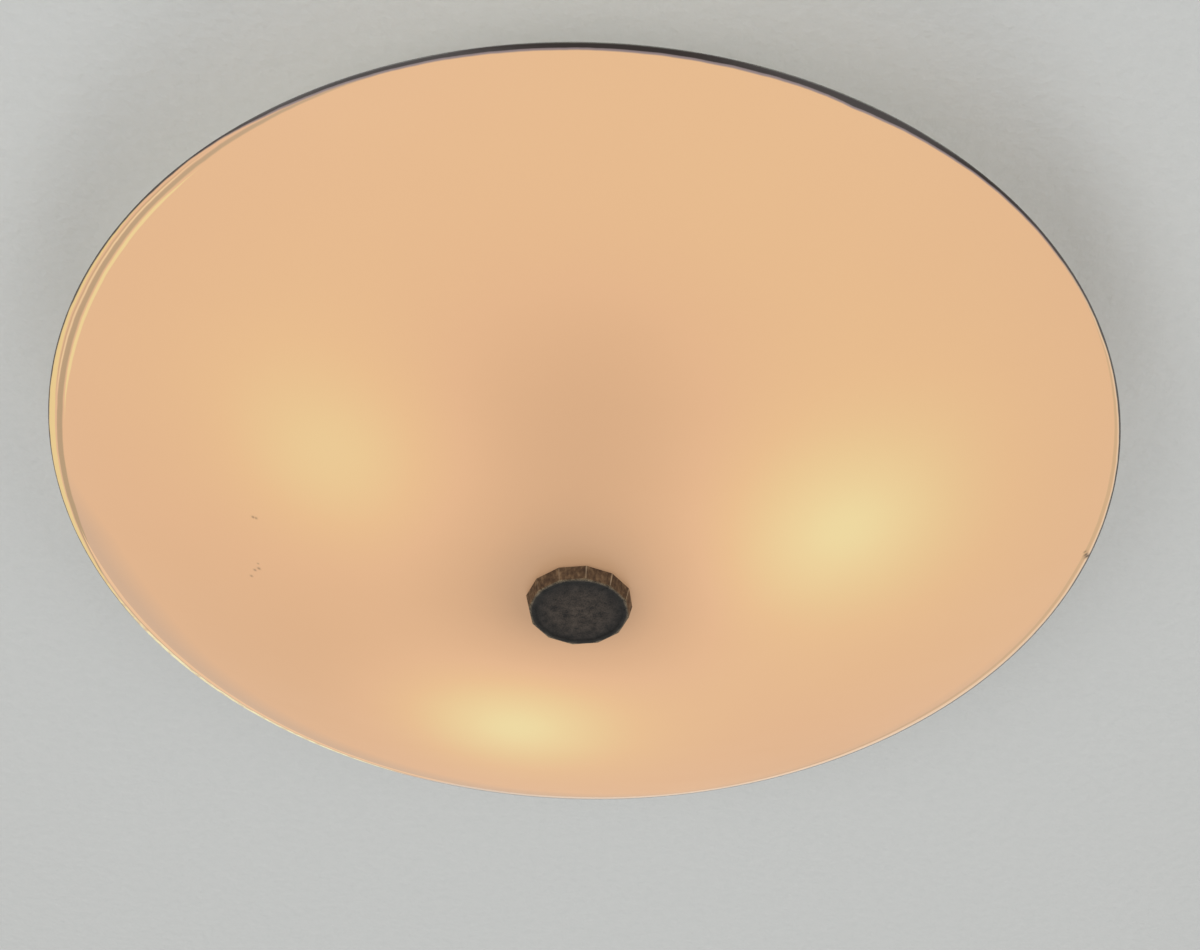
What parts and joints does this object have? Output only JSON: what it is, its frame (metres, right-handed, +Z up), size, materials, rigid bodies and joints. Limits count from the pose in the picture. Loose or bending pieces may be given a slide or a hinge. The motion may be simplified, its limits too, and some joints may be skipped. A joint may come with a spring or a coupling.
{
  "type": "flush mount ceiling light",
  "caption": "Shallow satin glass dish on a white ceiling pan, held at its centre by a faceted bronze knob, with bulbs lying inside.",
  "frame": {"origin": "middle of the pan's back, on the plane that meets the ceiling", "axes": "+Z up into the ceiling; the light hangs along -Z; the picture was taken from the -Y side, below"},
  "size_m": [0.5, 0.5, 0.1363],
  "materials": {
    "enamel": "gloss white stove enamel",
    "zinc_steel": "zinc-plated steel",
    "brass": "plain brass",
    "bronze": "dark brown patina, worn on the edges",
    "satin_glass": "satin white glass with a clear polished border",
    "felt": "dark felt",
    "white_plastic": "moulded white plastic",
    "tinned": "tinned copper",
    "earth_sleeve": "green and yellow sleeve",
    "lead_sleeve": "woven glass-fibre sleeve",
    "rubber": "black rubber",
    "porcelain": "glazed white porcelain",
    "solder": "solder",
    "bulb_glass": "inside-frosted bulb glass",
    "bulb_cap_metal": "plated cap",
    "black_glass": "black cap glass",
    "filament": "glass stem with steel supports and filament"
  },
  "bodies": {
    "fixture": {"pan": "enamel", "lamp_frame": "zinc_steel", "pan_studs": "zinc_steel", "foot_washers": "zinc_steel", "foot_nuts": "zinc_steel", "bracket_screws": "zinc_steel", "bracket_nuts": "zinc_steel", "holder_screws": "zinc_steel", "centre_rod": "zinc_steel", "rod_nuts": "zinc_steel", "rod_washers": "zinc_steel", "spacer_sleeve": "brass", "cup_washer": "zinc_steel", "terminal_block": "white_plastic", "terminal_tubes": "brass", "terminal_screws": "zinc_steel", "block_stud": "zinc_steel", "block_nut": "zinc_steel", "earth_stud": "zinc_steel", "earth_lug": "tinned", "earth_nut": "brass", "earth_lead": "earth_sleeve", "cable_bush": "rubber", "lamp_bracket_1": "zinc_steel", "holder_body_1": "porcelain", "holder_shell_1": "brass", "holder_contact_1": "brass", "holder_lead_1": "lead_sleeve", "lamp_bracket_2": "zinc_steel", "holder_body_2": "porcelain", "holder_shell_2": "brass", "holder_contact_2": "brass", "holder_lead_2": "lead_sleeve", "lamp_bracket_3": "zinc_steel", "holder_body_3": "porcelain", "holder_shell_3": "brass", "holder_contact_3": "brass", "holder_lead_3": "lead_sleeve"},
    "dish": {"glass_dish": "satin_glass", "upper_pad": "felt", "lower_pad": "felt"},
    "knob": {"knob": "bronze", "knob_insert": "brass"},
    "bulb_travel_1": {"bulb_tip_1": "solder"},
    "bulb_1": {"bulb_glass_1": "bulb_glass", "bulb_cap_1": "bulb_cap_metal", "bulb_insulator_1": "black_glass", "bulb_filament_1": "filament"},
    "bulb_travel_2": {"bulb_tip_2": "solder"},
    "bulb_2": {"bulb_glass_2": "bulb_glass", "bulb_cap_2": "bulb_cap_metal", "bulb_insulator_2": "black_glass", "bulb_filament_2": "filament"},
    "bulb_travel_3": {"bulb_tip_3": "solder"},
    "bulb_3": {"bulb_glass_3": "bulb_glass", "bulb_cap_3": "bulb_cap_metal", "bulb_insulator_3": "black_glass", "bulb_filament_3": "filament"}
  },
  "joints": [
    {"name": "dish_drop", "type": "slide", "parent": "fixture", "child": "dish", "axis": [0, 0, -1], "range_m": [0, 0.009]},
    {"name": "knob_turn", "type": "hinge", "parent": "dish", "child": "knob", "pos_m": [0, 0, -0.13], "axis": [0, 0, -1], "range_deg": [0, 3240]},
    {"name": "bulb_out_1", "type": "slide", "parent": "fixture", "child": "bulb_travel_1", "axis": [-0.1564, 0.9877, 0], "range_m": [0, 0.01086]},
    {"name": "bulb_turn_1", "type": "hinge", "parent": "bulb_travel_1", "child": "bulb_1", "pos_m": [-0.00782, 0.04938, -0.06365], "axis": [-0.1564, 0.9877, 0], "range_deg": [0, 1080]},
    {"name": "bulb_out_2", "type": "slide", "parent": "fixture", "child": "bulb_travel_2", "axis": [-0.7771, -0.6293, 0], "range_m": [0, 0.01086]},
    {"name": "bulb_turn_2", "type": "hinge", "parent": "bulb_travel_2", "child": "bulb_2", "pos_m": [-0.03886, -0.03147, -0.06365], "axis": [-0.7771, -0.6293, 0], "range_deg": [0, 1080]},
    {"name": "bulb_out_3", "type": "slide", "parent": "fixture", "child": "bulb_travel_3", "axis": [0.9336, -0.3584, 0], "range_m": [0, 0.01086]},
    {"name": "bulb_turn_3", "type": "hinge", "parent": "bulb_travel_3", "child": "bulb_3", "pos_m": [0.04668, -0.01792, -0.06365], "axis": [0.9336, -0.3584, 0], "range_deg": [0, 1080]}
  ],
  "couplings": [
    {"joint": "knob_turn", "follows": "dish_drop", "rad_per_m": 6283.2},
    {"joint": "bulb_out_1", "follows": "bulb_turn_1", "m_per_rad": 0.00057614},
    {"joint": "bulb_out_2", "follows": "bulb_turn_2", "m_per_rad": 0.00057614},
    {"joint": "bulb_out_3", "follows": "bulb_turn_3", "m_per_rad": 0.00057614}
  ]
}
